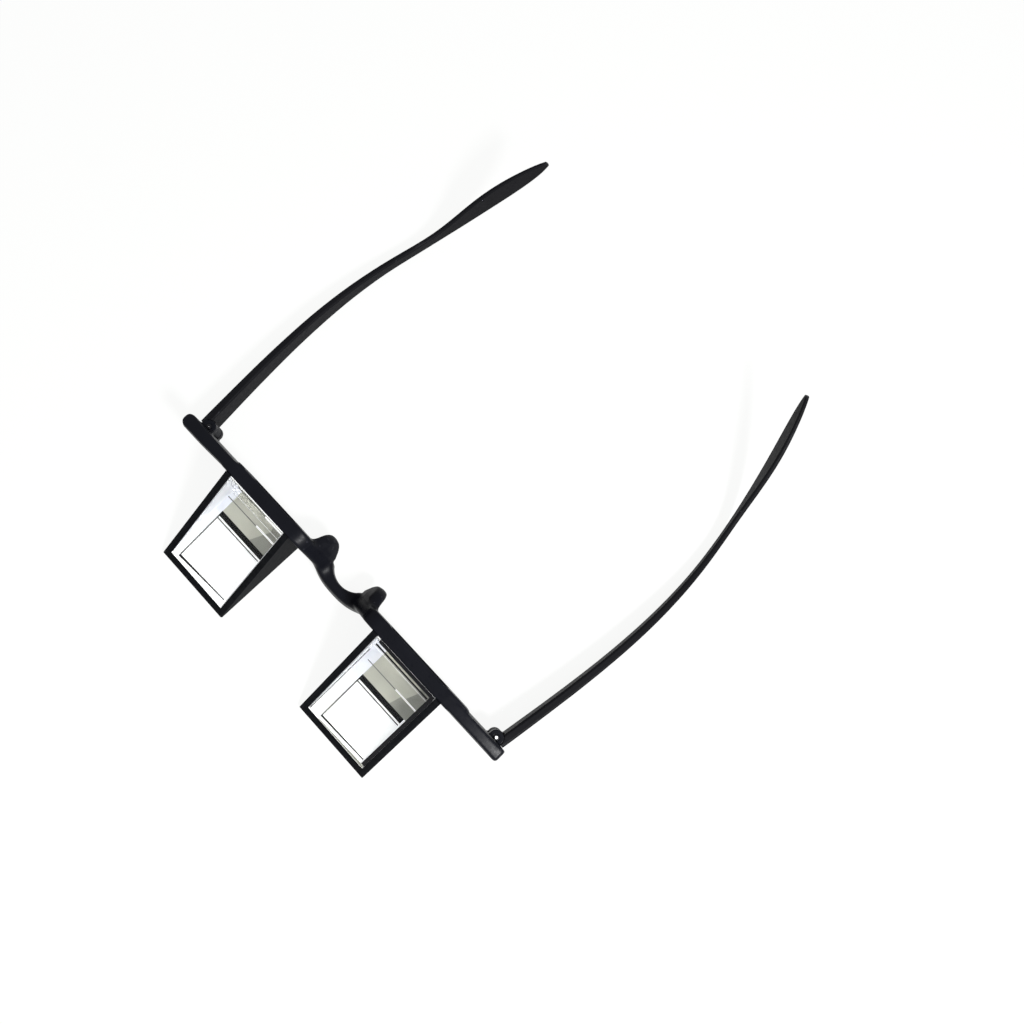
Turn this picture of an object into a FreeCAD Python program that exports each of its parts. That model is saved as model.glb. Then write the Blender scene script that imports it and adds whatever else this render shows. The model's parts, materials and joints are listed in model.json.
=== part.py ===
import FreeCAD, Part
import math
import os
from FreeCAD import Vector as V

# Prism bed glasses, millimetres.
# The glasses lie on their brow side, so the side that is lowest when they are worn points up (+Z).
# X runs along the front frame, wearer's right at +X. Y runs from the frame's front face to the temple tips.
# The origin is on the resting plane, mid width, in the plane of the frame's front face.

# Front frame
frame_width = 146.0
end_depth = 4.4
end_height = 17.8
end_corner = 1.6
end_round = 1.0
rim_depth = 4.9
rim_outer = 53.7
rim_corner = 4.0
edge_round = 0.6

# Bridge
bridge_half = 11.6
bridge_front = 3.0
bridge_shoulder = 7.0
bridge_shoulder_front = 2.2
bridge_rear = 1.6
bridge_rear_half = 6.7
bridge_height = 7.0
bridge_top_bulge = 0.4
bridge_round = 0.8
arch_height = 5.5
arch_half_low = 7.3
arch_half_high = 14.2
arch_corner = 5.0

# Nose pads, lobes that run down the arch
pad_thickness = 3.2
pad_splay = 0.25
pad_root = 1.5
pad_round = 1.1
pad_reach = 10.8
pad_peak = 7.0
pad_flank = 8.2
pad_flank_low = 4.4
pad_flank_high = 12.9
pad_foot_low = 2.2
pad_foot_reach = 3.6
pad_top = 16.8

# Prism and the stack under it. Side on, the glass is a 30-60-90 wedge
wedge_angle = 30.0
prism_centre = 34.45
glass_width = 25.6
glass_length = 32.0
glass_tip = 0.5
glass_bevel = 0.2
mirror_thickness = 0.2
backing_thickness = 0.6
cover_thickness = 1.2

# Prism case
cheek_wall = 2.1
front_wall = 2.0
cheek_proud = 0.25
case_round = 0.35
fit_gap = 0.05
cover_gap = 0.1
tab_width = 1.1
tab_depth = 1.8
tab_height = 6.0
tab_base = 5.0
snap_length = 9.0
snap_height = 0.5
snap_depth = 0.3

# Eye window in each rim
window_lip = 1.0
window_corner = 1.2
window_flare = 1.2
flare_depth = 1.6

# Hinge
hinge_inset = 4.1
axis_behind = 0.9
lug_radius = 2.4
lug_height = 2.5
knuckle_radius = 2.25
knuckle_web = 3.4
turn_gap = 0.15
screw_radius = 0.6
screw_head_radius = 0.95
screw_head_height = 0.7
screw_head_sink = 0.45
screw_head_round = 0.25
screw_slot = 0.25
screw_tip_gap = 0.5
pin_gap = 0.04
thread_gap = 0.02

# Temples
temple_inset = 2.0
temple_end_y = 150.5
temple_lean = 23.6
temple_bow = 2.2
temple_close = 36.8
temple_lift = 0.2
hook_rise = 25.7
hook_start = 0.62
hook_power = 2.23
butt_height = 9.8
middle_height = 7.5
neck_height = 4.9
paddle_height = 9.3
tip_height = 7.0
tip_start = 0.92
tip_reach = 0.083
butt_thickness = 3.0
middle_thickness = 2.5
neck_thickness = 1.8
paddle_thickness = 1.6
tip_thickness = 1.2
temple_round = 0.7
left_rest_swing = 3.1

# Worked out from the sizes above
rise = math.tan(math.radians(wedge_angle))
glass_base = cover_thickness + backing_thickness + mirror_thickness
glass_height = glass_length * rise
glass_top = glass_base + glass_height
case_height = glass_top + cheek_proud
pocket_half = glass_width / 2 + fit_gap
pocket_depth = glass_length + fit_gap
case_half = pocket_half + cheek_wall
case_depth = pocket_depth + front_wall
half_width = frame_width / 2
axis_x = half_width - hinge_inset
temple_butt_x = half_width - temple_inset
axis_y = end_depth + axis_behind
butt_y = end_depth + turn_gap
near_lug = butt_height - lug_height
clear = 1.0


def block(x0, x1, y0, y1, z0, z1):
    """A box between two corners."""
    return Part.makeBox(x1 - x0, y1 - y0, z1 - z0, V(x0, y0, z0))


def drum(radius, z0, z1):
    """An upright cylinder on the right hinge's axis."""
    return Part.makeCylinder(radius, z1 - z0, V(axis_x, axis_y, z0))


def corner_arc(before, corner, after, radius):
    """Start, middle and end of the arc that rounds a corner."""
    u = (before - corner).normalize()
    w = (after - corner).normalize()
    half = u.getAngle(w) / 2
    reach = radius / math.tan(half)
    inward = (u + w).normalize()
    middle = corner + inward * (radius / math.sin(half) - radius)
    return corner + u * reach, middle, corner + w * reach


def rounded_wire(corners):
    """A closed wire through corners given as (point, radius)."""
    count = len(corners)
    arcs = []
    for i, (point, radius) in enumerate(corners):
        arcs.append(corner_arc(corners[i - 1][0], point, corners[(i + 1) % count][0], radius))
    edges = []
    for i, (start, middle, end) in enumerate(arcs):
        edges.append(Part.Arc(start, middle, end).toShape())
        edges.append(Part.LineSegment(end, arcs[(i + 1) % count][0]).toShape())
    return Part.Wire(edges)


def rounded_plate(corners, thickness):
    """A plate that runs back along Y from an outline in the X-Z plane."""
    return Part.Face(rounded_wire(corners)).extrude(V(0, thickness, 0))


def smooth_curve(points, tangents=None):
    """A smooth curve through a few points."""
    curve = Part.BSplineCurve()
    if tangents:
        curve.interpolate(Points=points, InitialTangent=tangents[0], FinalTangent=tangents[1])
    else:
        curve.interpolate(Points=points)
    return curve.toShape()


def edges_where(shape, test, shares=(0.0, 0.5, 1.0)):
    """Edges that pass a test at these shares of their length, ends and middle unless told."""
    chosen = []
    for edge in shape.Edges:
        first, last = edge.ParameterRange
        if all(test(edge.valueAt(first + (last - first) * share)) for share in shares):
            chosen.append(edge)
    return chosen


def soften(shape, radius, test, shares=(0.0, 0.5, 1.0)):
    """Fillet the edges that pass a test."""
    return shape.makeFillet(radius, edges_where(shape, test, shares))


def near(a, b):
    """Whether two lengths are the same."""
    return abs(a - b) < 1e-4


def mirrored(shape):
    """The same piece on the left side."""
    return shape.mirror(V(0, 0, 0), V(1, 0, 0))


def arch_x(z):
    """Half width of the nose arch at a height on its straight flank."""
    return arch_half_low + (arch_half_high - arch_half_low) * (z - arch_height) / (case_height - arch_height)


def rim_blank():
    """The right rim as a plate, window still closed."""
    corners = [
        (V(bridge_rear_half, 0, 0), edge_round),
        (V(rim_outer, 0, 0), edge_round),
        (V(rim_outer, 0, case_height), rim_corner),
        (V(bridge_rear_half, 0, case_height), edge_round),
    ]
    plate = rounded_plate(corners, rim_depth)
    return soften(plate, edge_round, lambda p: near(p.y, 0) or near(p.y, rim_depth))


def end_blank():
    """The right end of the brow bar."""
    corners = [
        (V(bridge_rear_half, 0, 0), edge_round),
        (V(half_width, 0, 0), end_corner),
        (V(half_width, 0, end_height), end_corner),
        (V(bridge_rear_half, 0, end_height), edge_round),
    ]
    bar = rounded_plate(corners, end_depth)
    return soften(bar, end_round, lambda p: near(p.y, 0) and p.x > rim_outer)


def arch_cutter():
    """The space for the nose, seen from the front."""
    top = case_height + clear
    corners = [
        (V(-arch_half_low, -bridge_front - clear, arch_height), arch_corner),
        (V(arch_half_low, -bridge_front - clear, arch_height), arch_corner),
        (V(arch_x(top), -bridge_front - clear, top), clear / 4),
        (V(-arch_x(top), -bridge_front - clear, top), clear / 4),
    ]
    return rounded_plate(corners, bridge_front + rim_depth + 2 * clear)


def saddle_outline(z, bulge):
    """The saddle seen from above, with a share of its full bulge."""
    front = smooth_curve([
        V(-bridge_half, 0, z),
        V(-bridge_shoulder, -bridge_shoulder_front * bulge, z),
        V(0, -bridge_front * bulge, z),
        V(bridge_shoulder, -bridge_shoulder_front * bulge, z),
        V(bridge_half, 0, z),
    ])
    rear = Part.Arc(
        V(bridge_rear_half, rim_depth, z), V(0, bridge_rear, z), V(-bridge_rear_half, rim_depth, z)).toShape()
    right = Part.makePolygon([V(bridge_half, 0, z), V(bridge_half, rim_depth, z), V(bridge_rear_half, rim_depth, z)])
    left = Part.makePolygon([V(-bridge_rear_half, rim_depth, z), V(-bridge_half, rim_depth, z), V(-bridge_half, 0, z)])
    return Part.Wire([front] + right.Edges + [rear] + left.Edges)


def bridge():
    """The saddle between the rims, bowed to the front and leaning back as it rises."""
    saddle = Part.makeLoft([saddle_outline(0, 1), saddle_outline(bridge_height, bridge_top_bulge)], True, True)
    return soften(saddle, bridge_round, lambda p: p.y < clear / 100 and near(p.z, 0))


def nose_pad():
    """The right pad, a lobe that leans out along the arch."""
    reach = pad_reach + clear - pad_root
    low = pad_foot_low
    start = V(arch_x(low), pad_root, low)
    across = V(pad_thickness, 0, 0)
    up = V(arch_x(case_height) - arch_x(low), 0, case_height - low)
    band = Part.Face(Part.makePolygon([start, start + across, start + across + up, start + up, start]))
    band = band.extrude(V(pad_splay * reach, reach, 0))
    lobe_edge = smooth_curve([
        V(0, pad_foot_reach, pad_foot_low),
        V(0, pad_flank, pad_flank_low),
        V(0, pad_reach, pad_peak),
        V(0, pad_flank, pad_flank_high),
        V(0, rim_depth, pad_top),
    ])
    back = Part.makePolygon([
        V(0, rim_depth, pad_top),
        V(0, pad_root, pad_top),
        V(0, pad_root, pad_foot_low),
        V(0, pad_foot_reach, pad_foot_low),
    ])
    lobe = Part.Face(Part.Wire([lobe_edge] + back.Edges)).extrude(V(rim_outer, 0, 0))
    pad = band.common(lobe)
    return soften(pad, pad_round, lambda p: p.y > rim_depth + clear, (0.5,))


def window_cutter():
    """The right eye window, flared towards the eye."""
    half = glass_width / 2 - window_lip
    low = glass_base + window_lip
    high = glass_top - window_lip
    hole = rounded_plate(window_corners(half, low, high, 0, -clear), rim_depth + 2 * clear)
    inner = rounded_wire(window_corners(half, low, high, 0, rim_depth - flare_depth))
    outer = rounded_wire(window_corners(half, low, high, window_flare, rim_depth + clear / 10))
    flare = Part.makeLoft([inner, outer], True, True)
    return hole.fuse(flare)


def window_corners(half, low, high, grow, y):
    """Corners of the window's outline at one depth."""
    x0 = prism_centre - half - grow
    x1 = prism_centre + half + grow
    radius = window_corner + grow / 2
    return [(V(x0, y, low - grow), radius), (V(x1, y, low - grow), radius),
            (V(x1, y, high + grow), radius), (V(x0, y, high + grow), radius)]


def tab(gap):
    """The two tabs on the right case's cheeks, or with a gap their slots."""
    tabs = []
    for side in (-1, 1):
        middle = prism_centre + side * (pocket_half + cheek_wall / 2)
        tabs.append(block(
            middle - tab_width / 2 - gap, middle + tab_width / 2 + gap, -clear / 2, tab_depth + gap,
            tab_base - gap, tab_base + tab_height + gap))
    return tabs[0].fuse(tabs[1])


def hinge_lugs():
    """The frame's two lugs on the right, one each side of the temple's knuckle."""
    lugs = drum(lug_radius, 0, lug_height).fuse(drum(lug_radius, near_lug, butt_height))
    for low in (0, near_lug):
        root = block(axis_x - lug_radius, axis_x + lug_radius / 2, end_depth / 2, axis_y, low, low + lug_height)
        lugs = lugs.fuse(root)
    return lugs


def knuckle_pocket():
    """Room in the right end for the temple's knuckle to turn."""
    return drum(knuckle_radius + turn_gap, lug_height, near_lug)


def screw_way():
    """The screw's hole through both right lugs, with the head's recess."""
    shaft = drum(screw_radius + thread_gap, -clear, butt_height + clear)
    recess = drum(screw_head_radius + fit_gap, butt_height - screw_head_sink, butt_height + clear)
    return shaft.fuse(recess)


def front_frame():
    """Rims, bridge, nose pads, ends and hinge lugs, one moulding."""
    half = rim_blank().fuse([end_blank()])
    both = half.fuse([mirrored(half), bridge()]).removeSplitter()
    both = both.cut(arch_cutter())
    additions = [nose_pad(), hinge_lugs()]
    cuts = [window_cutter(), tab(fit_gap), knuckle_pocket(), screw_way()]
    both = both.fuse(additions + [mirrored(piece) for piece in additions])
    both = both.cut(cuts + [mirrored(piece) for piece in cuts])
    return both.removeSplitter()


def wedge(y_back, y_front, half, z_back, z_low):
    """A wedge whose top falls to the front at the prism's angle."""
    z_front = z_back - (y_back - y_front) * rise
    points = [V(-half, y_back, z_low), V(-half, y_back, z_back), V(-half, y_front, z_front), V(-half, y_front, z_low)]
    face = Part.Face(Part.makePolygon(points + [points[0]]))
    return face.extrude(V(2 * half, 0, 0)).translate(V(prism_centre, 0, 0))


def snap_ribs(gap):
    """Ribs on the cover's sides that snap into the cheeks."""
    middle = -pocket_depth / 2
    half = pocket_half - cover_gap + snap_depth + gap
    bar = block(
        prism_centre - half, prism_centre + half, middle - snap_length / 2 - gap, middle + snap_length / 2 + gap,
        (cover_thickness - snap_height) / 2 - gap, (cover_thickness + snap_height) / 2 + gap)
    return bar


def prism_case():
    """The right case: two cheeks and a low front wall round the glass."""
    shell = wedge(0, -case_depth, case_half, case_height, 0)
    shell = soften(shell, case_round, lambda p: p.y < -clear / 4 or abs(p.x - prism_centre) > case_half + clear)
    pocket = block(
        prism_centre - pocket_half, prism_centre + pocket_half, -pocket_depth, clear, -clear, case_height + clear)
    shell = shell.cut([pocket, snap_ribs(fit_gap)])
    return shell.fuse(tab(0)).removeSplitter()


def prism():
    """The right glass, bevelled all round."""
    y_front = -(glass_height - glass_tip) / rise
    glass = wedge(0, y_front, glass_width / 2, glass_top, glass_base)
    return glass.makeChamfer(glass_bevel, edges_where(glass, lambda p: p.y > y_front + clear, (0.5,)))


def layer(z_low, z_high, inset):
    """A flat layer under the right glass."""
    half = glass_width / 2 - inset
    y_front = -(glass_height - glass_tip) / rise + inset
    return block(prism_centre - half, prism_centre + half, y_front, -inset, z_low, z_high)


def mirror_film():
    """The silvered backing on the glass's long face."""
    return layer(glass_base - mirror_thickness, glass_base, glass_bevel)


def backing_pad():
    """The foam that presses the glass up from the cover."""
    return layer(cover_thickness, cover_thickness + backing_thickness, glass_bevel)


def case_cover():
    """The right cover, snapped between the cheeks."""
    half = pocket_half - cover_gap
    plate = block(
        prism_centre - half, prism_centre + half, -pocket_depth + cover_gap, -cover_gap, 0, cover_thickness)
    return plate.fuse(snap_ribs(0)).removeSplitter()


def blend(share, values):
    """A smooth value through (share, value) pairs."""
    last = len(values) - 1
    slopes = []
    for i in range(last + 1):
        before = values[max(i - 1, 0)]
        after = values[min(i + 1, last)]
        slopes.append((after[1] - before[1]) / (after[0] - before[0]))
    i = 0
    while i < last - 1 and share > values[i + 1][0]:
        i += 1
    reach = values[i + 1][0] - values[i][0]
    t = (share - values[i][0]) / reach
    rising = t * t * (3 - 2 * t)
    bends = t * (1 - t) ** 2 * slopes[i] - t * t * (1 - t) * slopes[i + 1]
    return values[i][1] * (1 - rising) + values[i + 1][1] * rising + bends * reach


def temple_point(share):
    """Middle of the temple's lower edge, as a share of its reach."""
    x = temple_butt_x + temple_lean * share + temple_bow * share ** 2 - temple_close * share ** 3
    y = butt_y + (temple_end_y - butt_y) * share
    curl = max(share - hook_start, 0) / (1 - hook_start)
    return V(x, y, temple_lift + hook_rise * curl ** hook_power)


def temple_section(share):
    """A rounded rectangle square to the temple's line."""
    height = blend(share, [
        (0, butt_height - temple_lift), (0.35, middle_height), (0.71, neck_height), (0.88, paddle_height),
        (1, tip_height)])
    thickness = blend(share, [
        (0, butt_thickness), (0.35, middle_thickness), (0.71, neck_thickness), (0.88, paddle_thickness),
        (1, tip_thickness)])
    narrowing = math.sqrt(1 - (max(share - tip_start, 0) / tip_reach) ** 2)
    step = 0.004
    here = temple_point(share)
    ahead = (temple_point(share + step) - temple_point(share - step)).normalize()
    if share == 0:
        ahead = V(0, 1, 0)
    side = V(ahead.y, -ahead.x, 0).normalize()
    up = side.cross(ahead)
    radius = min(temple_round, thickness / 2 * 0.8, height * narrowing / 2 * 0.8)
    base = here - side * (thickness / 2) + up * (height * (1 - narrowing) / 2)
    height *= narrowing
    corners = [base, base + side * thickness, base + side * thickness + up * height, base + up * height]
    return rounded_wire([(corner, radius) for corner in corners])


def temple_arm():
    """The right temple's long bar, from butt to tip."""
    shares = [0, 0.08, 0.16, 0.24, 0.32, 0.4, 0.48, 0.55, 0.61, 0.66, 0.71, 0.76, 0.81, 0.86, 0.91, 0.95, 0.98, 1.0]
    return Part.makeLoft([temple_section(share) for share in shares], True, False)


def temple():
    """The right temple with its knuckle."""
    arm = temple_arm()
    low = lug_height + turn_gap
    high = near_lug - turn_gap
    web = Part.makePolygon([
        V(axis_x, axis_y, low), V(temple_butt_x, axis_y, low), V(temple_butt_x, axis_y + knuckle_web, low),
        V(axis_x + turn_gap, axis_y + knuckle_radius - turn_gap, low), V(axis_x, axis_y, low)])
    web = Part.Face(web).extrude(V(0, 0, high - low))
    knuckle = drum(knuckle_radius, low, high)
    turning = lug_radius + turn_gap
    notches = [drum(turning, -clear, low), drum(turning, high, butt_height + clear)]
    return arm.cut(notches).fuse([knuckle, web]).cut(drum(screw_radius + pin_gap, -clear, butt_height + clear))


def hinge_screw():
    """The right hinge's screw, slotted head at the near side."""
    head_base = butt_height - screw_head_sink
    head = drum(screw_head_radius, head_base, head_base + screw_head_height)
    head = soften(head, screw_head_round, lambda p: near(p.z, head_base + screw_head_height))
    shaft = drum(screw_radius, screw_tip_gap, head_base + screw_head_height / 2)
    slot = block(
        axis_x - screw_head_radius, axis_x + screw_head_radius, axis_y - screw_slot / 2, axis_y + screw_slot / 2,
        head_base + screw_head_height - screw_slot, head_base + screw_head_height + clear)
    return head.fuse(shaft).cut(slot).removeSplitter()


def left_temple():
    """The left temple, a little short of its open stop."""
    shape = mirrored(temple())
    shape.rotate(V(-axis_x, axis_y, 0), V(0, 0, 1), -left_rest_swing)
    return shape


def save(name, shape):
    """Write one piece and print what it measures."""
    solid = shape.Solids[0] if len(shape.Solids) == 1 else shape
    box = solid.BoundBox
    print("%-20s solids %d valid %s volume %.1f  x %.1f..%.1f y %.1f..%.1f z %.1f..%.1f" % (
        name, len(shape.Solids), solid.isValid(), solid.Volume,
        box.XMin, box.XMax, box.YMin, box.YMax, box.ZMin, box.ZMax))
    solid.exportStep("parts/" + name + ".step")


def main():
    """Build every piece."""
    os.makedirs("parts", exist_ok=True)
    save("front_frame", front_frame())
    pairs = {
        "prism_case": prism_case,
        "prism": prism,
        "mirror_film": mirror_film,
        "backing_pad": backing_pad,
        "case_cover": case_cover,
        "hinge_screw": hinge_screw,
    }
    for name, make in pairs.items():
        piece = make()
        save(name + "_right", piece)
        save(name + "_left", mirrored(piece))
    save("temple_right", temple())
    save("temple_left", left_temple())


main()
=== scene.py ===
"""Prism bed glasses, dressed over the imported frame.

Lengths in the dataclasses are in millimetres and go into the scene in metres, except that the finishes and the
studio are in metres, with noise scales in blotches per metre.
The glasses lie on their brow side. X runs along the front, wearer's right at +X, and Y back along the temples.
"""

import json
import logging
import math
from dataclasses import dataclass, field
from enum import Enum
from typing import Any, Dict, List, Sequence, Tuple

import bmesh
import bpy
from mathutils import Matrix, Vector

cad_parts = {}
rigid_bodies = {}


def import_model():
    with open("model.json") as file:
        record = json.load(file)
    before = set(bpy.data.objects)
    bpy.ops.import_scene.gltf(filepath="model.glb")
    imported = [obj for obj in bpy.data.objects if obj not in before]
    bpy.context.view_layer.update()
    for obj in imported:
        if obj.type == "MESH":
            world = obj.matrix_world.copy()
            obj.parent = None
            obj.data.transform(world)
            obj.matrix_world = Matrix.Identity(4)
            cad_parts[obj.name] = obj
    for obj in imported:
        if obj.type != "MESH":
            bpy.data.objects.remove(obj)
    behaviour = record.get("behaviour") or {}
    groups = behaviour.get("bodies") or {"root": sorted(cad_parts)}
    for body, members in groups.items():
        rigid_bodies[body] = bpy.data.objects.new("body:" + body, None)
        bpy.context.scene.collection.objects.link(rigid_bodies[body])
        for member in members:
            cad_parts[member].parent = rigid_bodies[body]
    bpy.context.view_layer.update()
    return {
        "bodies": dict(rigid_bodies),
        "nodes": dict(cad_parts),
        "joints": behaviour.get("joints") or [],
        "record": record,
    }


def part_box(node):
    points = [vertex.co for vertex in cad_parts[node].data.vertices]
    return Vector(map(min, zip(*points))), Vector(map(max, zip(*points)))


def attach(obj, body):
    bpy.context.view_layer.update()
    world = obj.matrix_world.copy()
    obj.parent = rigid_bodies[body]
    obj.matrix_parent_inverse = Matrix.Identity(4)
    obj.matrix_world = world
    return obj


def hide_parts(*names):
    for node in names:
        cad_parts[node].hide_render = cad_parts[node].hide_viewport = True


MM: float = 0.001

Point2 = Tuple[float, float]
Point3 = Tuple[float, float, float]
Colour = Tuple[float, float, float]

log = logging.getLogger("prism_glasses")


class Side(Enum):
    """Wearer's side, with the sign of its X."""

    RIGHT = 1
    LEFT = -1

    def node(self, piece: str) -> str:
        """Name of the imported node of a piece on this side."""
        return f"{piece}_{self.name.lower()}"


class BandTone(Enum):
    """Painted reflections and painted shade of what the silvered base throws back, from the white sky to the
    black lip, and the ground bevels.
    """

    WHITE = "band_white"
    MIST = "band_mist"
    PALE = "band_pale"
    GREY = "band_grey"
    SHADE = "band_shade"
    LINE = "band_line"
    BLACK = "band_black"
    GROUND = "ground_bevel"


def linear(level: float) -> float:
    """Scene value of a display level between 0 and 255."""
    share = level / 255
    return share / 12.92 if share <= 0.04045 else ((share + 0.055) / 1.055) ** 2.4


def paint(red: float, green: float, blue: float) -> Colour:
    """Scene colour of three display levels."""
    return linear(red), linear(green), linear(blue)


class NodeSheet:
    """The nodes of a material or of the world, laid out one call at a time."""

    def __init__(self, name: str, world: bool = False) -> None:
        """Start a material, or a world, with only its output.

        Args:
            name: Its name.
            world: Whether it is a world.
        """
        self.owner = bpy.data.worlds.new(name) if world else bpy.data.materials.new(name)
        self.owner.use_nodes = True
        self.tree = self.owner.node_tree
        self.tree.nodes.clear()
        self.output = self.tree.nodes.new("ShaderNodeOutputWorld" if world else "ShaderNodeOutputMaterial")

    def add(self, kind: str, values: Dict[str, Any], **settings: Any) -> Any:
        """Add one node.

        Args:
            kind: Node type without its ShaderNode prefix.
            values: Input values by socket name; a socket in place of a value is linked.
            **settings: Properties of the node itself.

        Returns:
            The new node.
        """
        node = self.tree.nodes.new("ShaderNode" + kind)
        for key, value in settings.items():
            setattr(node, key, value)
        for key, value in values.items():
            if isinstance(value, bpy.types.NodeSocket):
                self.tree.links.new(value, node.inputs[key])
            else:
                node.inputs[key].default_value = value
        return node

    def place(self) -> Any:
        """Object coordinates, in metres."""
        return self.add("TexCoord", {}).outputs["Object"]

    def noise(self, scale: float, detail: float = 3.0, stretch: Point3 = (1, 1, 1)) -> Any:
        """Soft noise over the piece.

        Args:
            scale: Blotches per metre.
            detail: Finer layers on top.
            stretch: How far the noise is squeezed along each axis.

        Returns:
            The noise value's socket.
        """
        mapping = self.add("Mapping", {"Vector": self.place(), "Scale": stretch})
        source = mapping.outputs["Vector"]
        return self.add("TexNoise", {"Vector": source, "Scale": scale, "Detail": detail}).outputs["Fac"]

    def spread(self, value: Any, low: float, high: float, start: float = 0.3, end: float = 0.7) -> Any:
        """Map a value from one span to another.

        Args:
            value: Socket to map.
            low: Result at the span's start.
            high: Result at the span's end.
            start: Start of the span.
            end: End of the span.

        Returns:
            The mapped socket.
        """
        node = self.add("MapRange", {
            "Value": value, "From Min": start, "From Max": end, "To Min": low, "To Max": high})
        return node.outputs["Result"]

    def tint(self, share: Any, first: Colour, second: Colour) -> Any:
        """Blend two colours by a socket between 0 and 1."""
        node = self.add("MixRGB", {"Fac": share, "Color1": (*first, 1), "Color2": (*second, 1)})
        return node.outputs["Color"]

    def bump(self, height: Any, depth: float, strength: float) -> Any:
        """Normal pushed by a height socket, depth in metres."""
        node = self.add("Bump", {"Height": height, "Distance": depth, "Strength": strength})
        return node.outputs["Normal"]

    def finish(self, shader: Any) -> Any:
        """Join the last shader to the output and give the material or world."""
        self.tree.links.new(shader, self.output.inputs["Surface"])
        return self.owner

    def seen(self) -> Any:
        """Tell the rays that look at a surface from those that light one.

        Returns:
            A socket that is 1 for camera, glossy and transmission rays and 0 for the others.
        """
        path = self.add("LightPath", {}).outputs
        straight = {0: path["Is Camera Ray"], 1: path["Is Glossy Ray"]}
        either = self.add("Math", straight, operation="MAXIMUM").outputs[0]
        return self.add("Math", {0: either, 1: path["Is Transmission Ray"]}, operation="MAXIMUM").outputs[0]


@dataclass(frozen=True)
class MouldedPlastic:
    """Black injection-moulded plastic with fine grain, and lighter edges that are partly edge wear and partly a
    painted edge highlight.
    """

    name: str
    colour: Colour
    lightened: Colour
    roughness: float
    specular: float
    index: float = 1.45
    grain: float = 9000.0
    grain_depth: float = 0.00001
    grain_strength: float = 0.22
    cloud_scale: float = 60.0
    cloud_dark: float = 0.7
    dust_scale: float = 900.0
    dust_floor: float = 0.2
    edge_start: float = 0.53
    edge_end: float = 0.62
    edge_share: float = 0.8
    gloss_spread: float = 0.07

    def make(self) -> Any:
        """Build the material.

        Returns:
            The material.
        """
        sheet = NodeSheet(self.name)
        cloud = sheet.noise(self.cloud_scale)
        fine = sheet.noise(self.grain, detail=2.0)
        dust = sheet.noise(self.dust_scale, detail=5.0)
        # Convex edges found by pointiness are lightened, partly as edge wear and partly as a painted edge
        # highlight.
        edge = sheet.add("NewGeometry", {}).outputs["Pointiness"]
        edge_wear_and_painted_highlight = sheet.spread(edge, 0.0, self.edge_share, self.edge_start, self.edge_end)
        dusty = sheet.spread(dust, self.dust_floor, 1.0)
        wear_and_painted_highlight = sheet.add("Math", {0: edge_wear_and_painted_highlight, 1: dusty}, operation="MULTIPLY").outputs[0]
        darker = tuple(channel * self.cloud_dark for channel in self.colour)
        body = sheet.tint(sheet.spread(cloud, 0.0, 1.0), darker, self.colour)
        lightened = sheet.add("MixRGB", {"Fac": wear_and_painted_highlight, "Color1": body, "Color2": (*self.lightened, 1)})
        low, high = self.roughness - self.gloss_spread, self.roughness + self.gloss_spread
        shader = sheet.add("BsdfPrincipled", {
            "Base Color": lightened.outputs["Color"],
            "Roughness": sheet.spread(dust, low, high),
            "Specular IOR Level": self.specular,
            "IOR": self.index,
            "Normal": sheet.bump(fine, self.grain_depth, self.grain_strength),
        })
        return sheet.finish(shader.outputs[0])


@dataclass(frozen=True)
class OpticalGlass:
    """Clear ground glass of the prisms."""

    name: str = "optical_glass"
    tint: Colour = (0.985, 0.995, 0.988)
    cloud: Colour = (0.955, 0.965, 0.962)
    mirrored: Colour = (0.15, 0.15, 0.16)
    index: float = 1.5
    smear_scale: float = 140.0
    smear_stretch: Point3 = (1, 3, 1)

    def make(self) -> Any:
        """Build the material.

        Returns:
            The material.
        """
        sheet = NodeSheet(self.name)
        smears = sheet.noise(self.smear_scale, 4.0, self.smear_stretch)
        shader = sheet.add("BsdfPrincipled", {
            "Base Color": sheet.tint(sheet.spread(smears, 0.0, 1.0), self.tint, self.cloud),
            "Roughness": 0.0,
            "Specular Tint": (*self.mirrored, 1),
            "IOR": self.index,
            "Transmission Weight": 1.0,
        })
        return sheet.finish(shader.outputs[0])


@dataclass(frozen=True)
class SilverAndPaintedReflection:
    """Real silver coat under the glass, and the painted reflections laid over it, each in one tone, with a
    painted glow where glow is set.
    """

    name: str
    colour: Colour
    shade: Colour
    roughness: float = 0.06
    metal: float = 1.0
    glow: float = 0.0
    specular: float = 0.1
    cloud_scale: float = 110.0
    cloud_stretch: Point3 = (1, 0.6, 1)
    speck_scale: float = 4200.0
    speck_gain: float = 1.6

    def make(self) -> Any:
        """Build the material.

        Returns:
            The material.
        """
        sheet = NodeSheet(self.name)
        cloud = sheet.noise(self.cloud_scale, 2.0, self.cloud_stretch)
        specks = sheet.noise(self.speck_scale)
        shader = sheet.add("BsdfPrincipled", {
            "Base Color": sheet.tint(sheet.spread(cloud, 0.0, 1.0), self.colour, self.shade),
            "Roughness": sheet.spread(specks, self.roughness, self.roughness * self.speck_gain),
            "Metallic": self.metal,
            "Specular IOR Level": self.specular,
            # Painted glow: the coat glows in its own colour though it is no lamp.
            "Emission Color": (*self.colour, 1),
            "Emission Strength": self.glow,
        })
        coat = sheet.finish(shader.outputs[0])
        coat.cycles.emission_sampling = "NONE"
        return coat


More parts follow.
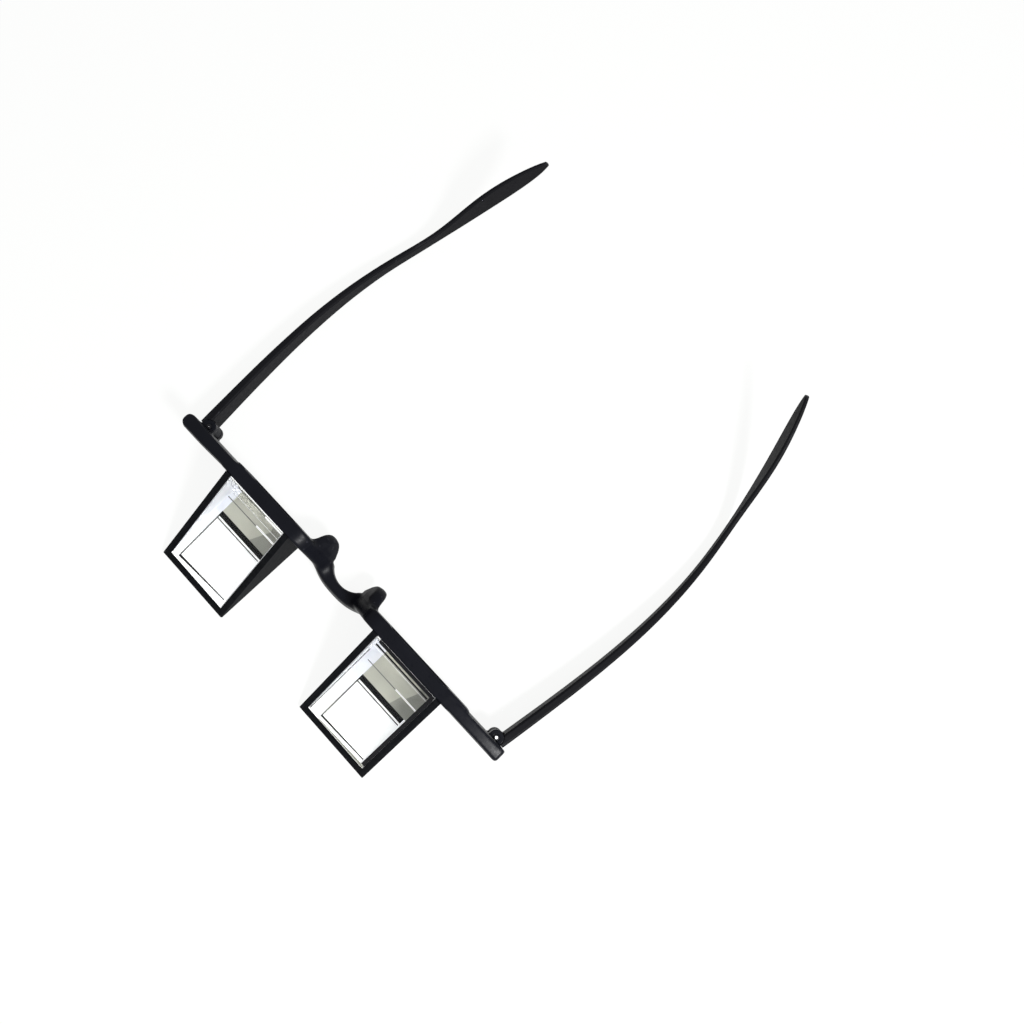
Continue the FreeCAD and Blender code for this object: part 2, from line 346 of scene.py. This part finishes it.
@dataclass(frozen=True)
class CellFoam:
    """Closed-cell foam of the backing pads."""

    name: str = "cell_foam"
    colour: Colour = (0.035, 0.035, 0.038)
    wall_gain: float = 2.2
    roughness: float = 0.95
    cell_scale: float = 2600.0
    cell_depth: float = 0.0001
    cell_strength: float = 0.6

    def make(self) -> Any:
        """Build the material.

        Returns:
            The material.
        """
        sheet = NodeSheet(self.name)
        cells = sheet.add("TexVoronoi", {"Vector": sheet.place(), "Scale": self.cell_scale}).outputs["Distance"]
        pale = tuple(channel * self.wall_gain for channel in self.colour)
        shader = sheet.add("BsdfPrincipled", {
            "Base Color": sheet.tint(sheet.spread(cells, 0.0, 1.0, 0.1, 0.6), self.colour, pale),
            "Roughness": self.roughness,
            "Normal": sheet.bump(cells, self.cell_depth, self.cell_strength),
        })
        return sheet.finish(shader.outputs[0])


@dataclass(frozen=True)
class BlackedSteel:
    """Blacked steel of the hinge screws, with a painted highlight on the middle of the head."""

    name: str
    middle: Point3
    painted_highlight_radius: float
    colour: Colour = (0.02, 0.02, 0.022)
    bright: Colour = (0.92, 0.92, 0.93)
    painted_highlight_edge: Point2 = (0.8, 1.1)
    gloss: Point2 = (0.24, 0.4)
    turning_scale: float = 5200.0
    turning_stretch: Point3 = (1, 1, 0.2)
    turning_depth: float = 0.00001
    turning_strength: float = 0.3

    def make(self) -> Any:
        """Build the material.

        Returns:
            The material.
        """
        sheet = NodeSheet(self.name)
        turning = sheet.noise(self.turning_scale, 2.0, self.turning_stretch)
        # Painted highlight: the head is coloured pale within a radius of its middle, standing in for a lamp's
        # glint.
        flat = sheet.add("Mapping", {"Vector": sheet.place(), "Scale": (1, 1, 0)}).outputs["Vector"]
        away = sheet.add("VectorMath", {0: flat, 1: (self.middle[0], self.middle[1], 0)}, operation="DISTANCE")
        inner, outer = (self.painted_highlight_radius * MM * share for share in self.painted_highlight_edge)
        lightened = sheet.spread(away.outputs["Value"], 1.0, 0.0, inner, outer)
        shader = sheet.add("BsdfPrincipled", {
            "Base Color": sheet.tint(lightened, self.colour, self.bright),
            "Roughness": sheet.spread(turning, *self.gloss),
            "Metallic": 1.0,
            "Normal": sheet.bump(turning, self.turning_depth, self.turning_strength),
        })
        return sheet.finish(shader.outputs[0])


class Finishes:
    """Every finish on the glasses, made once.

    A plastic's row gives its colour, its edges' colour (edge wear and a painted highlight), and its roughness,
    specular level and index.
    A band's row gives its tone, its colour, the colour of its clouds, and its roughness, metal and painted
    glow; all but the ground bevels' tone are painted reflections.
    """

    def __init__(self) -> None:
        """Build the materials."""
        plastics = {
            name: MouldedPlastic(f"{name}_black", paint(*colour), paint(*lightened), *gloss).make()
            for name, colour, lightened, gloss in (
                ("frame", (17, 18, 23), (40, 41, 46), (0.32, 0.15, 1.25)),
                ("case", (11, 12, 14), (28, 29, 31), (0.42, 0.15, 1.07)),
                ("cover", (27, 27, 29), (50, 50, 52), (0.6, 0.16)),
                ("temple", (17, 17, 20), (44, 45, 48), (0.5, 0.2, 1.2)),
                ("bead", (26, 26, 28), (46, 46, 48), (0.4, 0.2, 1.2)),
            )
        }
        self.frame, self.case, self.cover, self.temple, self.bead = plastics.values()
        self.glass = OpticalGlass().make()
        self.silver = SilverAndPaintedReflection("silver_coat", (0.97, 0.97, 0.965), (0.95, 0.955, 0.95)).make()
        self.foam = CellFoam().make()
        # Painted reflections: every band tone but the ground one paints what the silvered base would throw
        # back; the ground bevels are frosted glass. Every glow is painted light.
        self.bands: Dict[BandTone, Any] = {
            tone: SilverAndPaintedReflection(tone.value, paint(*colour), paint(*shade), roughness, metal, glow).make()
            for tone, colour, shade, roughness, metal, glow in (
                (BandTone.WHITE, (254, 254, 253), (252, 253, 252), 0.3, 0.5, 0.3),
                (BandTone.MIST, (242, 243, 245), (248, 249, 249), 0.3, 0.3, 0.22),
                (BandTone.PALE, (228, 230, 238), (238, 240, 243), 0.3, 0.2, 0.2),
                (BandTone.GREY, (196, 196, 183), (180, 180, 168), 0.35, 0.1, 0.12),
                (BandTone.SHADE, (146, 147, 138), (158, 158, 149), 0.35, 0.1, 0.1),
                (BandTone.LINE, (100, 100, 100), (125, 125, 122), 0.4, 0.1, 0.02),
                (BandTone.BLACK, (16, 16, 18), (8, 8, 9), 0.25, 0.0, 0.0),
                (BandTone.GROUND, (246, 247, 247), (232, 234, 236), 0.6, 0.0, 0.1),
            )
        }


def dress(node: str, material: Any) -> None:
    """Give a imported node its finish.

    Args:
        node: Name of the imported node.
        material: The finish.
    """
    shape = FRAME["nodes"][node]
    shape.data.materials.clear()
    shape.data.materials.append(material)
    log.info("dressed %s", node)


def mesh_piece(
        name: str, points: Sequence[Point3], faces: Sequence[Sequence[int]],
        finishes: Sequence[Any], tones: Sequence[int] = ()) -> Any:
    """Make a mesh object.

    Args:
        name: The piece's name.
        points: Corners in millimetres.
        faces: Corner numbers of each face.
        finishes: The piece's materials.
        tones: Which material each face takes, the first one unless told.

    Returns:
        The object, linked to the scene.
    """
    mesh = bpy.data.meshes.new(name)
    mesh.from_pydata([Vector(point) * MM for point in points], [], faces)
    for finish in finishes:
        mesh.materials.append(finish)
    for face, tone in zip(mesh.polygons, tones):
        face.material_index = tone
    mesh.update()
    piece = bpy.data.objects.new(name, mesh)
    bpy.context.scene.collection.objects.link(piece)
    log.info("made %s with %d faces", name, len(mesh.polygons))
    return piece


@dataclass
class Band:
    """One painted reflection that shows through the glass, as a thin sheet just over the silvered base.

    Corners are (across, back from the rim) in the glass's own frame, across from its middle.
    """

    corners: Sequence[Point2]
    tone: BandTone
    level: int = 1


def strip(left: float, right: float, near: float, far: float, tone: BandTone, level: int = 1) -> Band:
    """A straight band between two widths and two depths."""
    return Band([(left, near), (right, near), (right, far), (left, far)], tone, level)


def left_bands() -> List[Band]:
    """Painted reflections and painted shade in the left glass."""
    return [
        strip(-12.7, -10.2, 0.0, 9.0, BandTone.PALE),
        strip(-12.7, -10.2, 9.0, 18.0, BandTone.MIST),
        strip(-10.2, 12.7, 0.0, 7.6, BandTone.GREY),
        Band([(6.5, 0.0), (12.7, 0.0), (12.7, 2.2), (5.6, 2.2)], BandTone.SHADE, 2),
        Band([(5.4, 2.6), (12.7, 2.6), (12.7, 7.6), (3.2, 7.6)], BandTone.SHADE, 2),
        strip(-12.5, 1.5, 2.25, 2.62, BandTone.LINE, 3),
        strip(1.5, 12.7, 2.0, 2.62, BandTone.WHITE, 3),
        strip(-10.3, 10.7, 7.6, 9.7, BandTone.BLACK, 3),
        strip(-10.3, 10.4, 10.35, 10.85, BandTone.LINE, 2),
        strip(-10.3, -9.75, 9.7, 29.7, BandTone.LINE, 2),
        Band([(-10.2, 29.8), (11.6, 28.85), (11.6, 29.2), (-10.2, 30.7)], BandTone.BLACK, 3),
    ]


def right_bands() -> List[Band]:
    """Painted reflections and painted shade in the right glass."""
    return [
        strip(-12.7, -8.1, 0.0, 12.0, BandTone.PALE),
        strip(-12.7, -8.1, 12.0, 24.0, BandTone.MIST),
        strip(-8.1, 12.7, 0.0, 9.8, BandTone.GREY),
        Band([(8.4, 0.0), (12.7, 0.0), (12.7, 4.6), (6.8, 4.6)], BandTone.SHADE, 2),
        Band([(5.3, 5.4), (12.7, 5.4), (12.7, 9.8), (4.2, 9.8)], BandTone.SHADE, 2),
        strip(-10.4, 2.5, 4.85, 5.2, BandTone.LINE, 3),
        strip(2.5, 12.7, 4.7, 5.2, BandTone.WHITE, 3),
        strip(-8.2, 11.0, 9.8, 11.85, BandTone.BLACK, 3),
        strip(-8.2, 11.0, 12.45, 12.95, BandTone.LINE, 2),
        strip(-8.25, -7.75, 11.8, 30.0, BandTone.LINE, 2),
        strip(-12.5, -12.15, 2.0, 31.4, BandTone.LINE, 2),
        Band([(-8.2, 29.9), (11.0, 29.4), (11.0, 29.8), (-8.2, 30.6)], BandTone.BLACK, 3),
        Band([(-8.0, 31.6), (12.7, 31.0), (12.7, 31.85), (-8.0, 31.85)], BandTone.SHADE, 2),
    ]


RIGHT_LEDGES: Dict[str, Tuple[float, float, float, float]] = {
    "rear_ledge_right": (-11.2, 12.6, 0.05, 1.2),
    "rear_bead_right": (-11.4, 11.2, 1.75, 2.3),
    "side_ledge_right": (11.4, 12.75, 1.2, 31.0),
}


@dataclass
class PrismBox:
    """One prism in its case: glass, silver coat, pad, case and cover.

    Distances back are from the rim, forward along the glass, and the sheets of painted reflections lie inside
    the glass.
    """

    side: Side
    finishes: Finishes
    wedge_angle: float = 30.0
    bevel: float = 0.28
    tip_bevel: float = 0.01
    rear_gap: float = 0.02
    length: float = 31.9
    thin_at: float = 31.0
    floor_lift: float = 0.02
    band_step: float = 0.015
    side_gap: float = 0.01
    band_start: float = 0.1
    ledge_thickness: float = 0.16
    ledge_slope: float = 0.6
    ledge_lift: float = 0.005
    rear_sheet: float = 3.0
    rear_inset: float = 0.06

    def __post_init__(self) -> None:
        """Read the glass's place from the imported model."""
        low, high = (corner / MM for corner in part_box(self.side.node("prism")))
        self.middle: float = (low.x + high.x) / 2
        self.half: float = (high.x - low.x) / 2
        self.base: float = low.z + self.floor_lift
        self.top: float = high.z
        self.fall: float = math.tan(math.radians(self.wedge_angle))

    def face_height(self, back: float) -> float:
        """Height of the sloping face, a distance forward of the rim."""
        return self.top - back * self.fall

    def ring(self, back: float, drop: float, bevel: float) -> List[Point3]:
        """Section of the glass across its width.

        Args:
            back: Distance forward of the rim.
            drop: How far the section's top is lowered.
            bevel: Width of its two upper bevels.

        Returns:
            Six corners, from the base's left to its right over the top.
        """
        top = self.face_height(back) - drop
        half = self.half - self.side_gap
        flat = [(-half, self.base), (-half, top - bevel), (bevel - half, top),
                (half - bevel, top), (half, top - bevel), (half, self.base)]
        return [(self.middle + x, -back, z) for x, z in flat]

    def glass(self) -> Any:
        """Build the bevelled wedge of glass in place of the plain one.

        Returns:
            The glass.
        """
        rings = [
            self.ring(self.rear_gap, self.bevel, self.bevel),
            self.ring(self.bevel, 0, self.bevel),
            self.ring(self.thin_at, 0, self.bevel),
            self.ring(self.length, 0, self.tip_bevel),
        ]
        points = [point for ring in rings for point in ring]
        count = len(rings[0])
        faces: List[List[int]] = [list(range(count)), [len(points) - 1 - i for i in range(count)]]
        for start in range(0, len(points) - count, count):
            for i in range(count):
                ahead = (i + 1) % count
                faces.append([start + ahead, start + i, start + count + i, start + count + ahead])
        # The base takes the white tone, real silver with a painted glow; the side walls take the pale tone, a
        # painted reflection; the bevels take the ground tone, frosted with a painted glow.
        clear, silvered, pale, ground = range(4)
        walls = [pale, ground, clear, ground, pale, silvered]
        tones = [clear, clear] + walls * (len(rings) - 1)
        tones[tones.index(clear, 2)] = ground
        coats = [self.finishes.bands[tone] for tone in (BandTone.WHITE, BandTone.PALE, BandTone.GROUND)]
        finishes = [self.finishes.glass, *coats]
        piece = mesh_piece(self.side.node("ground_prism"), points, faces, finishes, tones)
        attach(piece, "front")
        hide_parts(self.side.node("prism"))
        return piece

    def bands(self, layout: Sequence[Band]) -> Any:
        """Lay the painted reflections that stand in for what the silvered base shows.

        Args:
            layout: The bands, in the glass's own frame.

        Returns:
            The sheet of bands.
        """
        tones = list(BandTone)
        points: List[Point3] = []
        faces: List[List[int]] = []
        picks: List[int] = []
        for band in layout:
            start = len(points)
            height = self.base + band.level * self.band_step
            points += [(self.middle + x, -max(y, self.band_start), height) for x, y in band.corners]
            faces.append(list(range(start, start + len(band.corners))))
            picks.append(tones.index(band.tone))
        # Painted reflection: a grey sheet just inside the rear face, from under its top bevel down, stands in
        # for what that face throws back.
        start = len(points)
        half = self.half - self.bevel
        rear = [(-half, self.bevel), (half, self.bevel), (half, self.rear_sheet), (-half, self.rear_sheet)]
        points += [(self.middle + x, -self.rear_inset, self.top - drop) for x, drop in rear]
        faces.append(list(range(start, start + len(rear))))
        picks.append(tones.index(BandTone.GREY))
        finishes = [self.finishes.bands[tone] for tone in tones]
        piece = mesh_piece(self.side.node("painted_reflection_bands"), points, faces, finishes, picks)
        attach(piece, "front")
        return piece

    def ledge(self, name: str, sides: Sequence[float]) -> Any:
        """Lay a thin bevelled bar on the sloping face.

        Args:
            name: The piece's name.
            sides: Its left and right side, across from the glass's middle, and its rear and front side, as
                distances from the rim.

        Returns:
            The bar.
        """
        left, right, near, far = sides
        inset = self.ledge_thickness * self.ledge_slope
        lows = [(left, near), (right, near), (right, far), (left, far)]
        highs = [(left + inset, near + inset), (right - inset, near + inset), (right - inset, far - inset),
                 (left + inset, far - inset)]
        points = [(self.middle + x, -y, self.face_height(y) + self.ledge_lift) for x, y in lows]
        points += [(self.middle + x, -y, self.face_height(y) + self.ledge_thickness) for x, y in highs]
        faces = [[3, 2, 1, 0], [4, 5, 6, 7]] + [[i, (i + 1) % 4, 4 + (i + 1) % 4, 4 + i] for i in range(4)]
        piece = mesh_piece(name, points, faces, [self.finishes.bead])
        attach(piece, "front")
        return piece

    def build(self) -> None:
        """Build and dress the whole box."""
        self.glass()
        self.bands(right_bands() if self.side is Side.RIGHT else left_bands())
        if self.side is Side.RIGHT:
            for name, sides in RIGHT_LEDGES.items():
                self.ledge(name, sides)
        dress(self.side.node("prism_case"), self.finishes.case)
        dress(self.side.node("case_cover"), self.finishes.cover)
        dress(self.side.node("mirror_film"), self.finishes.silver)
        dress(self.side.node("backing_pad"), self.finishes.foam)
        dress(self.side.node("prism"), self.finishes.glass)


def settled(piece: Any) -> Any:
    """Turn a piece's modifiers into its mesh.

    Args:
        piece: The object with its modifiers.

    Returns:
        The same object with a plain mesh.
    """
    graph = bpy.context.evaluated_depsgraph_get()
    graph.update()
    mesh = bpy.data.meshes.new_from_object(piece.evaluated_get(graph))
    piece.modifiers.clear()
    piece.vertex_groups.clear()
    piece.data = mesh
    return piece


def ramp(value: float, start: float, end: float) -> float:
    """Smooth rise from 0 at start to 1 at end."""
    share = min(max((value - start) / (end - start), 0.0), 1.0)
    return share * share * (3 - 2 * share)


@dataclass
class FrontFrame:
    """The moulded front: rims, bridge, nose pads, ends and lugs, with its corners run together."""

    finishes: Finishes

    # Grid and smoothing of the run-together corners
    grid: float = 0.28
    passes: int = 110
    saddle_full: float = 11.5
    saddle_end: float = 20.0

    # Nose pads
    pad_start: float = 3.5
    pad_rear: float = 6.6
    pad_tip: float = 9.5
    pad_share: float = 0.15
    pad_swell: float = 1.3
    pad_swell_right: float = 1.5

    # Curved run-out that fills the step in height between rim and end
    rim_top: float = 20.725
    end_top: float = 17.8
    fill_start: float = 48.0
    fill_end: float = 72.6
    fill_front: float = 0.3
    fill_rear: float = 4.1
    fill_share: float = 0.2
    fill_sink: float = 0.05
    fill_deep: float = 3.0
    fill_shallow: float = 1.0
    fill_steps: int = 16
    fill_soft: float = 45.0

    # Dip of the rim's near surface into the arch
    dip_base: float = 8.0
    dip_start: float = 20.0
    dip_full: float = 14.2
    dip_depth: float = 2.8
    dip_rear: float = 5.6

    # Shift of the rear step of each rim
    rim_front: float = 3.7
    rim_rear: float = 4.3
    rim_shift: float = 3.6
    shift_start: float = 44.0
    shift_full: float = 53.0
    shift_ebb: float = 56.0
    shift_end: float = 66.0

    # Round left end
    round_start: float = -70.8
    square_end: float = -73.0
    round_end_at: float = -74.3
    round_reach: float = 2.8
    round_least: float = 0.02
    end_swell: float = 0.5
    end_swell_start: float = 50.0
    end_swell_full: float = 66.0
    end_swell_front: float = 2.0
    end_swell_rear: float = 4.0
    bar_middle: float = 2.2

    def softness(self, x: float, y: float, z: float) -> float:
        """How much of the smoothing a point takes.

        Args:
            x: Its place along the front.
            y: Its place back from the front face.
            z: Its height.

        Returns:
            A share between 0 and 1.
        """
        saddle = ramp(self.saddle_end - abs(x), 0.0, self.saddle_end - self.saddle_full)
        saddle *= 1 - (1 - self.pad_share) * ramp(y, self.pad_rear, self.pad_tip)
        end = ramp(abs(x), self.fill_soft, self.fill_start)
        end *= ramp(z, self.end_top - self.fill_deep, self.end_top - self.fill_shallow)
        return max(saddle, self.fill_share * end * (1 - ramp(y, self.rim_rear, self.pad_rear)))

    def swelled(self, x: float, y: float, lean: float) -> float:
        """Place along the front with the flank of the pad filled out.

        Args:
            x: A point's place along the front.
            y: Its place back from the front face.
            lean: How far its surface faces along the front.

        Returns:
            The new place.
        """
        sign = math.copysign(1.0, x)
        share = ramp(y, self.pad_start, self.pad_rear) * (1 - ramp(abs(x), self.saddle_full, self.dip_full))
        swell = self.pad_swell_right if x > 0 else self.pad_swell
        return x + sign * swell * share * min(lean * sign, 0.0)

    def dipped(self, x: float, y: float, z: float) -> float:
        """Height with the rim's near surface running down into the arch.

        Args:
            x: A point's place along the front.
            y: Its place back from the front face.
            z: Its height.

        Returns:
            The new height.
        """
        across = (self.dip_start - max(abs(x), self.dip_full)) / (self.dip_start - self.dip_full)
        depth = self.dip_depth * max(across, 0.0) ** 2 * (1 - ramp(y, self.dip_rear, self.pad_tip))
        return z - depth * max(z - self.dip_base, 0.0) / (self.rim_top - self.dip_base)

    def shifted(self, x: float, y: float) -> float:
        """Place along the front with the rear step of each rim moved to the wearer's right.

        Args:
            x: A point's place along the front.
            y: Its place back from the front face.

        Returns:
            The new place.
        """
        rise = ramp(abs(x), self.shift_start, self.shift_full)
        ebb = ramp(self.shift_end - abs(x), 0.0, self.shift_end - self.shift_ebb)
        return x + self.rim_shift * ramp(y, self.rim_front, self.rim_rear) * min(rise, ebb)

    def rounded(self, x: float, y: float) -> Point2:
        """Place with the left end drawn out and rounded.

        Args:
            x: A point's place along the front.
            y: Its place back from the front face.

        Returns:
            The new places along and back.
        """
        y -= self.end_swell * ramp(-x, self.end_swell_start, self.end_swell_full) * (
            1 - ramp(y, self.end_swell_front, self.end_swell_rear))
        if x >= self.round_start:
            return x, y
        stretch = (self.round_end_at - self.round_start) / (self.square_end - self.round_start)
        x = self.round_start + (x - self.round_start) * stretch
        past = max(self.round_end_at + self.round_reach - x, 0.0) / self.round_reach
        return x, self.bar_middle + (y - self.bar_middle) * math.sqrt(max(1 - past * past, self.round_least))

    def shape(self, vertex: Any, lean: float) -> None:
        """Draw a vertex of the front into its moulded place.

        Args:
            vertex: The vertex, in metres.
            lean: How far its surface faces along the front.
        """
        x, y, z = (number / MM for number in vertex.co)
        z = self.dipped(x, y, z)
        x = self.shifted(self.swelled(x, y, lean), y)
        vertex.co = Vector((*self.rounded(x, y), z)) * MM

    def filled(self) -> Any:
        """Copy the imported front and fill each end's step with a curved run-out.

        Returns:
            The mesh.
        """
        mesh = FRAME["nodes"]["front_frame"].data.copy()
        shape = bmesh.new()
        shape.from_mesh(mesh)
        for sign in (-1, 1):
            low = self.end_top - self.fill_deep
            profile = [(self.fill_end, low), (self.fill_start, low)]
            for step in range(self.fill_steps + 1):
                share = step / self.fill_steps
                along = self.fill_start + share * (self.fill_end - self.fill_start)
                fall = (self.rim_top - self.end_top) * share * share
                profile.append((along, self.rim_top - self.fill_sink - fall))
            rings = [[shape.verts.new(Vector((sign * x, y, z)) * MM) for x, z in profile]
                     for y in (self.fill_front, self.fill_rear)]
            shape.faces.new(rings[0])
            shape.faces.new(rings[1][::-1])
            for index in range(len(profile)):
                after = (index + 1) % len(profile)
                shape.faces.new((rings[0][after], rings[0][index], rings[1][index], rings[1][after]))
        bmesh.ops.recalc_face_normals(shape, faces=shape.faces)
        shape.to_mesh(mesh)
        shape.free()
        mesh.materials.clear()
        mesh.materials.append(self.finishes.frame)
        return mesh

    def build(self) -> None:
        """Build the run-together front in place of the plain one."""
        piece = bpy.data.objects.new("moulded_front", self.filled())
        bpy.context.scene.collection.objects.link(piece)
        grid = piece.modifiers.new("grid", "REMESH")
        grid.mode = "VOXEL"
        grid.voxel_size = self.grid * MM
        grid.use_smooth_shade = True
        settled(piece)
        group = piece.vertex_groups.new(name="soft")
        for vertex in piece.data.vertices:
            share = self.softness(*(number / MM for number in vertex.co))
            if share > 0:
                group.add([vertex.index], share, "REPLACE")
        smooth = piece.modifiers.new("smooth", "SMOOTH")
        smooth.iterations = self.passes
        smooth.vertex_group = group.name
        settled(piece)
        leans = [normal.vector.x for normal in piece.data.vertex_normals]
        for vertex, lean in zip(piece.data.vertices, leans):
            self.shape(vertex, lean)
        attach(piece, "front")
        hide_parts("front_frame")
        dress("front_frame", self.finishes.frame)
        log.info("made moulded_front with %d faces", len(piece.data.polygons))


@dataclass
class Temple:
    """One temple and the screw it turns on."""

    side: Side
    finishes: Finishes
    # Radius of the painted highlight on each screw head, in millimetres.
    painted_highlight_radius: Dict[Side, float] = field(default_factory=lambda: {Side.RIGHT: 0.46, Side.LEFT: 0.12})

    def build(self) -> None:
        """Dress the temple and its screw."""
        dress(self.side.node("temple"), self.finishes.temple)
        screw = self.side.node("hinge_screw")
        low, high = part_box(screw)
        middle = tuple((low + high) / 2)
        steel = BlackedSteel(self.side.node("blacked_steel"), middle, self.painted_highlight_radius[self.side])
        dress(screw, steel.make())


@dataclass
class Studio:
    """White table, even light from all round, one large soft lamp and a small one for the right end.

    Each lamp's row gives its place, its size and its power.
    """

    floor_size: float = 4.0
    floor_drop: float = 0.0004
    white: float = 0.99
    fill: float = 0.5
    camera_share: float = 0.92
    table_matt: Colour = (0.93, 0.93, 0.93)
    table_glow: Colour = (0.988, 0.992, 0.985)
    lamp_aim: Point3 = (0.0, 0.03, 0.0)
    lamps: Dict[str, Tuple[Point3, float, float]] = field(default_factory=lambda: {
        "soft_lamp": ((0.42, -0.10, 0.55), 0.7, 1.3),
        "end_lamp": ((0.304, -0.007, 0.344), 0.07, 3.0),
    })

    def floor(self) -> None:
        """Lay the table, white to the camera and still taking a little shadow."""
        sheet = NodeSheet("table_white")
        share = sheet.add("Math", {0: sheet.seen(), 1: self.camera_share}, operation="MULTIPLY").outputs[0]
        matt = sheet.add("BsdfDiffuse", {"Color": (*self.table_matt, 1)}).outputs[0]
        glow = sheet.add("Emission", {"Color": (*self.table_glow, 1), "Strength": 1.0}).outputs[0]
        mix = sheet.add("MixShader", {0: share, 1: matt, 2: glow}).outputs[0]
        reach = self.floor_size / 2 / MM
        drop = -self.floor_drop / MM
        corners = [(-reach, -reach, drop), (reach, -reach, drop), (reach, reach, drop), (-reach, reach, drop)]
        mesh_piece("table", corners, [[0, 1, 2, 3]], [sheet.finish(mix)])

    def world(self) -> None:
        """Even white light, full white where it is seen."""
        sheet = NodeSheet("studio_white", world=True)
        level = sheet.spread(sheet.seen(), self.fill, self.white, 0.0, 1.0)
        background = sheet.add("Background", {"Color": (1, 1, 1, 1), "Strength": level})
        bpy.context.scene.world = sheet.finish(background.outputs[0])

    def hang_lamps(self) -> None:
        """Hang the lamps, each with its place, size and power."""
        for name, (place, size, power) in self.lamps.items():
            light = bpy.data.lights.new(name, "AREA")
            light.energy = power
            light.size = size
            lamp = bpy.data.objects.new(name, light)
            lamp.location = place
            aim = Vector(self.lamp_aim) - lamp.location
            lamp.rotation_euler = aim.to_track_quat("-Z", "Y").to_euler()
            lamp.visible_transmission = False
            bpy.context.scene.collection.objects.link(lamp)

    def build(self) -> None:
        """Set the whole studio."""
        self.floor()
        self.world()
        self.hang_lamps()
        bpy.context.scene.view_settings.view_transform = "Standard"


@dataclass
class PhotoCamera:
    """The camera as it stood over the glasses: its place and the directions of its picture's three axes."""

    place: Point3 = (39.6293, 7.6797, 268.1660)
    across: Point3 = (0.68970029, 0.72402657, 0.00283563)
    down: Point3 = (0.70582228, -0.671476, -0.22549618)
    ahead: Point3 = (-0.16136117, 0.15752623, -0.97423993)
    lens: float = 28.1232
    sensor: float = 36.0
    shift: Point2 = (0.07137, -0.03484)
    clip_start: float = 0.01

    def build(self) -> None:
        """Set the camera."""
        data = bpy.data.cameras.new("photo_camera")
        data.lens = self.lens
        data.sensor_width = self.sensor
        data.shift_x, data.shift_y = self.shift
        data.clip_start = self.clip_start
        camera = bpy.data.objects.new("photo_camera", data)
        turn = Matrix((self.across, -Vector(self.down), -Vector(self.ahead))).transposed()
        camera.matrix_world = Matrix.Translation(Vector(self.place) * MM) @ turn.to_4x4()
        bpy.context.scene.collection.objects.link(camera)
        bpy.context.scene.camera = camera


FRAME: Dict[str, Any] = {}


def main() -> None:
    """Build every sub-assembly in order."""
    logging.basicConfig(level=logging.INFO, format="%(name)s: %(message)s")
    FRAME.update(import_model())
    finishes = Finishes()
    FrontFrame(finishes).build()
    for side in Side:
        PrismBox(side, finishes).build()
        Temple(side, finishes).build()
    Studio().build()
    PhotoCamera().build()


if __name__ == "__main__":
    main()
